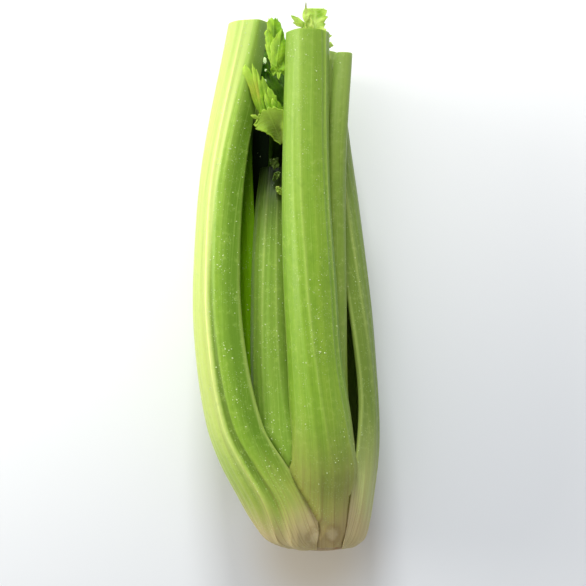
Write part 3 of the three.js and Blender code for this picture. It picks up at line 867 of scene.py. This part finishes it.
def addBlade(bm, form):
    base = Vector(form["base"])
    along = Vector(form["tip"]) - base
    length = along.length
    along.normalize()
    upright = Matrix.Rotation(math.radians(form["roll"]), 3, along) @ Vector((0, 0, 1))
    sideways = along.cross(upright).normalized()
    upright = sideways.cross(along)
    wide, long = (max(leafForm["fewest"], round(size * leafForm["facetsPerMm"]))
                  for size in (form["width"], length))
    made = bmesh.ops.create_grid(bm, x_segments=wide, y_segments=long, size=0.5)
    foldShade, straw, dried, pale = (bm.verts.layers.float[label] for label in leafForm["layers"])
    uv = bm.loops.layers.uv["blade"]
    spread = {}
    for vert in made["verts"]:
        u, v = vert.co.x * 2, vert.co.y + 0.5
        spread[vert] = (u, v)
        side, tooth = (form["left"], form["toothLeft"]) if u < 0 else (form["right"], form["toothRight"])
        half = profileAt(side, v) * form["width"] / 2
        notch = tooth * (1 - (v * form["teeth"] + form["seed"]) % 1) * abs(u) ** 5
        lobe = 1 + leafForm["lobes"] * math.sin(v * math.pi * 3 + form["seed"] * 2) * abs(u) ** 2
        across = u * half * lobe * (1 - notch)
        ripple = noise.noise(Vector((u * 1.3, v * form["waves"] * 2, form["seed"] * 3.1)))
        rise = (form["cup"] * u * u + form["keel"] * abs(u) + form["bow"] * math.sin(math.pi * v)
                + form["wave"] * ripple * 2 * (0.3 + abs(u)))
        # a fan has a round outer edge, cut into scallops
        scallop = 1 - abs(math.sin(form["scallops"] * u * math.pi / 2 + form["seed"])) ** 0.6
        cutIn = leafForm["scallopDepth"] * scallop * (form["scallops"] > 0) * v ** 6
        reach = v * (1 - form["fan"] * u * u - cutIn)
        point = base + along * (reach * length) + sideways * across + upright * rise
        vert.co = spot(*point)
        # painted shade in the troughs of the ripples and across the middle of a blade given shade
        shade = form["shade"] * (1 - u * u) * min(1, 4 * (1 - v))
        vert[foldShade] = min(max(-ripple * 2, 0) + shade, 1)
        off = (v - leafForm["strawMiddle"]) / leafForm["strawSpread"]
        vert[straw] = form["straw"] * math.exp(-off ** 2)
        vert[dried] = form["dried"] * smoothstep(*leafForm["driedFrom"], v)
        # a leaf pales towards its tip, or towards one side; partly its own paler colour, partly painted light
        # on the rims and sides that face the lamps
        towards = smoothstep(0, 1, u * form["paleSide"])
        vert[pale] = form["pale"] * (towards if form["paleSide"] else smoothstep(*leafForm["paleFrom"], v))
    for face in {f for vert in made["verts"] for f in vert.link_faces}:
        for loop in face.loops:
            u, v = spread[loop.vert]
            loop[uv].uv = ((u + 1) / 2, v * length / leafForm["veinSpan"])


def makeLeaf(name, blades, material):
    bm = bmesh.new()
    for label in leafForm["layers"]:
        bm.verts.layers.float.new(label)
    bm.loops.layers.uv.new("blade")
    for form in blades:
        addBlade(bm, form)
    bmesh.ops.remove_doubles(bm, verts=bm.verts, dist=touching)
    markSharp(bm, leafForm["sharpEdge"])
    piece = addObject(name + "_shape", bm, [material], name)
    wetted.append(piece)
    thick = piece.modifiers.new("thickness", "SOLIDIFY")
    thick.thickness = leafForm["thickness"] * mm
    thick.offset = 0


upperLeaf = [
    blade(plainBlade, (-7, 267, 58.2), (-6.6, 282.6, 60), 9, 0.4, teeth=4, roll=10, keel=-1.2, wave=0.7,
          waves=1.4, left=[(0, 0.9), (0.5, 0.8), (1, 0.75)],
          right=[(0, 1.35), (0.45, 1.2), (0.8, 0.8), (1, 0.5)], toothLeft=0.12, toothRight=0.1,
          scallops=3, shade=0.3, pale=1, paleSide=-1),
    blade(plainBlade, (-7.4, 257.4, 58.8), (-9.6, 276.6, 59.6), 6.6, 1.9, teeth=4, roll=-10, keel=-1,
          wave=0.6, waves=1, left=[(0, 0.4), (0.35, 0.8), (0.9, 1), (1, 0.5)], toothLeft=0.22, pale=0.9,
          paleSide=-1),
    blade(plainBlade, (-5.6, 256.6, 59.2), (-2.6, 276.2, 62.4), 10, 1.3, teeth=5, roll=2, keel=-0.7,
          wave=0.4, waves=1.2, left=[(0, 0.62), (0.25, 0.9), (0.55, 0.9), (0.8, 0.6), (1, 0.04)],
          right=[(0, 0.75), (0.3, 1), (0.6, 0.8), (0.85, 0.4), (1, 0.04)], toothLeft=0.1, toothRight=0.1,
          shade=0.35, pale=0.8, paleSide=-1),
    blade(squareBlade, (-4.4, 265, 58.6), (-4.6, 254.4, 58.9), 8.6, 2.2, teeth=4, wave=0.4, waves=1.5,
          scallops=4),
    blade(strapBlade, (-5, 262, 58.8), (-7.2, 252.2, 58.4), 4.2, 0.3, teeth=3, roll=10, pale=0.4),
    blade(strapBlade, (-4, 262, 58.9), (-4.4, 250.2, 58.4), 4, 1.2, teeth=3, pale=0.6),
    blade(strapBlade, (-2.4, 262, 58.7), (-1.8, 252.6, 58.2), 4.4, 2.3, teeth=3, roll=-10, pale=0.4),
]
makeLeaf("upper_leaf", upperLeaf, freshLeaf)

# narrow fingers that grow out of one blade
finger = {**strapBlade, "teeth": 2, "toothLeft": 0.12, "toothRight": 0.12, "waves": 1, "cup": -0.9,
          "pale": 0.9}
fingeredLeaf = [
    blade(finger, (-4.4, 230.6, 56.6), (-9.8, 246.2, 59.2), 6.8, 3.3, teeth=4, roll=14, toothRight=0.25,
          pale=0.4),
    blade(finger, (-7.6, 231, 56.8), (-13, 251.6, 60.2), 5.2, 2.4, roll=6, pale=0.5),
    blade(finger, (-10.6, 232, 57.4), (-16, 255.2, 61), 3.2, 1.9, roll=12),
    blade(finger, (-12.6, 233, 57.2), (-18.3, 258, 61.6), 4.2, 0.7, roll=-4, straw=0.9),
    blade(finger, (-14.6, 235, 57), (-22, 257.6, 61.2), 5.6, 0.1, roll=-12,
          left=[(0, 0.6), (0.4, 0.8), (0.8, 1), (0.93, 0.75), (1, 0.15)], pale=1, straw=0.5),
    blade(finger, (-9, 233, 59), (-11.4, 242.6, 60.4), 3.2, 0.9, pale=0.7),
    blade(finger, (-6.4, 233, 59), (-7.6, 240, 60), 3.4, 1.6, pale=0.7),
    blade(plainBlade, (-4.6, 228, 55), (-15.8, 245, 57.2), 12.6, 2.6, teeth=5, cup=0.6, wave=0.4, waves=1,
          left=[(0, 0.9), (0.5, 1), (0.8, 0.7), (1, 0.1)],
          right=[(0, 0.7), (0.4, 1), (0.75, 0.8), (1, 0.1)], toothLeft=0.08, toothRight=0.12, shade=0.5),
]
makeLeaf("fingered_leaf", fingeredLeaf, freshLeaf)

fanLeaf = [
    blade(plainBlade, (-2.6, 216.6, 57), (-10.6, 235, 62), 20.6, 0.5, teeth=7, cup=1.2, bow=-0.4,
          wave=0.5, waves=1.4,
          left=[(0, 0.1), (0.25, 0.33), (0.53, 0.6), (0.8, 0.88), (0.93, 1), (1, 0.86)],
          right=[(0, 0.1), (0.35, 0.4), (0.72, 0.75), (0.9, 0.86), (1, 0.7)], toothLeft=0.08,
          toothRight=0.05, fan=0.2, scallops=5, shade=1.3, pale=0.6),
    blade(plainBlade, (-14.6, 229.2, 61.4), (-19, 230.8, 62.2), 2.2, 1.7, teeth=2, wave=0.2, pale=1),
]
makeLeaf("fan_leaf", fanLeaf, oliveLeaf)

shadedBlades = [
    blade(plainBlade, (0, 236, 45), (-11.6, 258, 46), 9, 1.5, teeth=5, cup=0.8, wave=0.5, toothLeft=0.15,
          toothRight=0.15, shade=0.3),
    blade(plainBlade, (0, 246, 43), (-11, 275, 42), 15, 0.2, teeth=5, wave=0.8, shade=1),
    blade(squareBlade, (-7, 238, 41), (-13, 266, 41), 13, 1.2, teeth=5, wave=0.8, shade=2),
]
makeLeaf("shaded_leaf", shadedBlades, shadedLeaf)

cutLeaf = [
    blade(squareBlade, (15.2, 270.5, 61.6), (14.9, 287, 61.8), 12.4, 0.3, teeth=5, roll=3, wave=0.5,
          toothLeft=0.02, toothRight=0.3),
    blade(strapBlade, (9.8, 281, 61.9), (10, 290, 62.2), 1.3, 1.1, teeth=1, wave=0.1, dried=0.8),
    blade(plainBlade, (11, 272, 62.4), (12.2, 283.6, 62.2), 5.5, 1.8, teeth=3, keel=0.6, wave=0.5,
          shade=0.5),
]
makeLeaf("cut_leaf", cutLeaf, paleLeaf)

leafTip = [
    blade(strapBlade, (10.2, 277.4, 60.6), (2.2, 283.4, 61), 3.6, 0.5, teeth=2, wave=0.2),
    blade(strapBlade, (8.6, 277.6, 60.7), (3.2, 279.8, 61), 2.2, 1.5, teeth=2, wave=0.2),
]
makeLeaf("leaf_tip", leafTip, paleLeaf)

sideLeaf = [
    blade(plainBlade, (19, 268.4, 63), (24.4, 267.2, 62.2), 3.8, 0.6, teeth=3, toothLeft=0.35,
          toothRight=0.35),
    blade(plainBlade, (19, 272, 63.2), (23.6, 272.4, 62.8), 2.6, 1.4, teeth=3, toothLeft=0.35,
          toothRight=0.35),
]
makeLeaf("side_leaf", sideLeaf, paleLeaf)

# three wilted bits, curled up on themselves
crumb = {**plainBlade, "wave": 1.5, "waves": 4, "teeth": 4, "toothLeft": 0.4, "toothRight": 0.4}
wilted = {
    "shrivelled_leaflet_1": [
        blade(crumb, (-5, 205.4, 47.6), (-9.4, 209.4, 49.4), 4.6, 0.2, cup=1.4),
        blade(crumb, (-8.4, 205.6, 48.6), (-4.8, 210, 49.6), 3.6, 1.2),
        blade(crumb, (-4.6, 207.6, 48.8), (-7.4, 204, 49.8), 3.2, 2.1),
    ],
    "shrivelled_leaflet_2": [
        blade(crumb, (-4.2, 202.4, 50.4), (-7.4, 197.4, 50.4), 3.4, 2.2, cup=1.2),
        blade(crumb, (-7.2, 199, 50.6), (-4, 202, 51.6), 2.6, 3.1),
    ],
    "shrivelled_leaflet_3": [
        blade(crumb, (-5.6, 194.6, 51.6), (-3, 189.8, 52.2), 3.2, 4.4, cup=1),
        blade(crumb, (-3.2, 194, 52), (-5.2, 190.6, 52.4), 2.4, 1.9),
    ],
}
for name, blades in wilted.items():
    makeLeaf(name, blades, paleLeaf if name.endswith("3") else wiltedLeaf)
print("leaves made")

# water: beads where the head was rinsed, most of them in clusters, and three big drops by the leaves
dew = {
    "clusters": 150, "beads": 8, "spreadAcross": 2.5, "spreadAlong": 7, "smallest": 0.13, "largest": 0.42,
    "left": -48, "right": 42, "low": 40, "high": 279, "lean": 60, "flatness": 0.55,
    "aimHeight": 45, "startBack": 120, "steepest": 0.05,
    "segments": 7, "rings": 5, "widths": (0.85, 1.1), "lengths": (0.95, 1.3),
    "drops": [(-12.2, 263.6, 1.15, 1.8), (-11.5, 257.8, 0.7, 1.1), (-12, 253, 0.8, 1.4)],
}


def waterWires(ink):
    ripple, paintedGlow = ink.solid().noisy(600, 2, 0.5), ink.measured("paintedGlow")
    # the pale, mostly opaque colour is a painted glint, standing in for the light that clear water catches
    colour = ripple.mixed((216, 240, 150), (238, 250, 196))
    # a big drop glows a little, painted light that stands in for the light it gathers
    return {"Base Color": colour, "Roughness": ripple * 0.08 + 0.04, "Alpha": 0.7 + paintedGlow * 0.25,
            "Emission Color": paintedGlow.mixed((0, 0, 0), (222, 244, 190))}


water = finish("water", {"IOR": 1.33, "Emission Strength": 0.7, "Specular IOR Level": 0.8,
                         "Specular Tint": (0.86, 1, 0.62, 1), "Coat Weight": 0.15}, waterWires)


def skinTree(pieces):
    # the surfaces that water can sit on
    points, faces = [], []
    for piece in pieces:
        start = len(points)
        points += [vert.co.copy() for vert in piece.data.vertices]
        faces += [[start + i for i in face.vertices] for face in piece.data.polygons]
    return BVHTree.FromPolygons(points, faces)


def addBead(bm, tree, x, distance, lean, radius, stretch=0):
    # a bead sits where a line from outside, leaning that many degrees, first meets the head
    lean = math.radians(lean)
    inward = Vector((-math.sin(lean), 0, -math.cos(lean)))
    start = spot(x, distance, dew["aimHeight"]) - inward * (dew["startBack"] * mm)
    point, normal, _, _ = tree.ray_cast(start, inward)
    if point is None or abs(normal.z) < dew["steepest"]:
        return
    if normal.z < 0:
        normal = -normal
    place = Matrix.Translation(point) @ normal.to_track_quat("Z", "Y").to_matrix().to_4x4()
    size = Vector((radius * chance.uniform(*dew["widths"]), radius * chance.uniform(*dew["lengths"]),
                   radius * dew["flatness"])) * mm
    if stretch:
        # a big drop hangs, drawn out along the head
        place, size = Matrix.Translation(point), Vector((radius, radius * stretch, radius)) * mm
    return bmesh.ops.create_uvsphere(bm, u_segments=dew["segments"], v_segments=dew["rings"], radius=1,
                                     matrix=place @ Matrix.Diagonal((*size, 1)))


def makeDew(tree):
    bm = bmesh.new()
    beads = bpy.data.meshes.new("beads")
    for _ in range(dew["clusters"]):
        cluster = bmesh.new()  # made apart, because adding to a mesh of many beads is slow
        x, distance = chance.uniform(dew["left"], dew["right"]), chance.uniform(dew["low"], dew["high"])
        lean = chance.uniform(-dew["lean"], dew["lean"])
        for _ in range(dew["beads"]):
            radius = blendOf(dew["smallest"], dew["largest"], chance.random() ** 3)
            addBead(cluster, tree, chance.gauss(x, dew["spreadAcross"]),
                    chance.gauss(distance, dew["spreadAlong"]), lean, radius)
        cluster.to_mesh(beads)
        cluster.free()
        bm.from_mesh(beads)
    paintedGlow = bm.verts.layers.float.new("paintedGlow")
    for x, distance, radius, stretch in dew["drops"]:
        for vert in addBead(bm, tree, x, distance, 0, radius, stretch)["verts"]:
            vert[paintedGlow] = 1
    markSharp(bm, math.pi)  # nothing on a bead is sharp
    addObject("water_beads", bm, [water], None)


makeDew(skinTree(wetted))
print("water beads set")

# floor, and the light of a bright room from the left
room = {"floor": 3, "light": (242, 242, 241), "shade": (224, 226, 229), "rootShadow": (205, 194, 174),
        "sky": 0.44}


def floorWires(ink):
    place = ink.solid()
    # painted shade: the floor darkens towards the lower right
    fall = (place.part(1) - place.part(0) * 0.35).fades(0.12, -0.2)
    # a warm painted shadow on the floor just below the cut root end
    near = place.distance(spot(rootX - 3, -14, 0), Vector((22, 22, 22))).fades(1.1, 0.2)
    return {"Base Color": fall.mixed(room["light"], room["shade"]).coated(room, [(near * 0.8, "rootShadow")])}


def makeFloor():
    bm = bmesh.new()
    bmesh.ops.create_grid(bm, x_segments=1, y_segments=1, size=room["floor"])
    mesh = bpy.data.meshes.new("floor")
    bm.to_mesh(mesh)
    bm.free()
    mesh.materials.append(finish("floor_finish", {"Roughness": 0.9, "Specular IOR Level": 0.1}, floorWires))
    floor = bpy.data.objects.new("floor", mesh)
    scene.collection.objects.link(floor)


makeFloor()

# places and sizes in metres, and every lamp looks at the head
lamps = {
    "window": {"from": (-0.95, 0.2, 0.34), "size": (0.6, 0.5), "power": 7.4, "colour": (1, 0.98, 0.92)},
    "ceiling": {"from": (-0.35, 0.4, 0.8), "size": (0.7, 0.7), "power": 1.4, "colour": (1, 1, 1)},
    "far": {"from": (-0.08, 1.3, 0.6), "size": (0.32, 0.26), "power": 23, "colour": (0.93, 0.965, 1)},
    "bounce": {"from": (0.7, -0.3, 0.5), "size": (0.8, 0.8), "power": 0.4, "colour": (1, 1, 1)},
}
for name, lamp in lamps.items():
    light = bpy.data.lights.new(name, "AREA")
    light.shape = "RECTANGLE"
    light.size, light.size_y = lamp["size"]
    light.energy = lamp["power"]
    light.color = lamp["colour"]
    holder = bpy.data.objects.new(name, light)
    holder.location = lamp["from"]
    holder.rotation_euler = (-Vector(lamp["from"])).to_track_quat("-Z", "Y").to_euler()
    scene.collection.objects.link(holder)

world = bpy.data.worlds.new("room")
scene.world = world
world.use_nodes = True
sky = world.node_tree.nodes["Background"]
sky.inputs["Color"].default_value = (1, 1, 1, 1)
sky.inputs["Strength"].default_value = room["sky"]
scene.view_settings.view_transform = "Standard"
print("floor and lamps set")
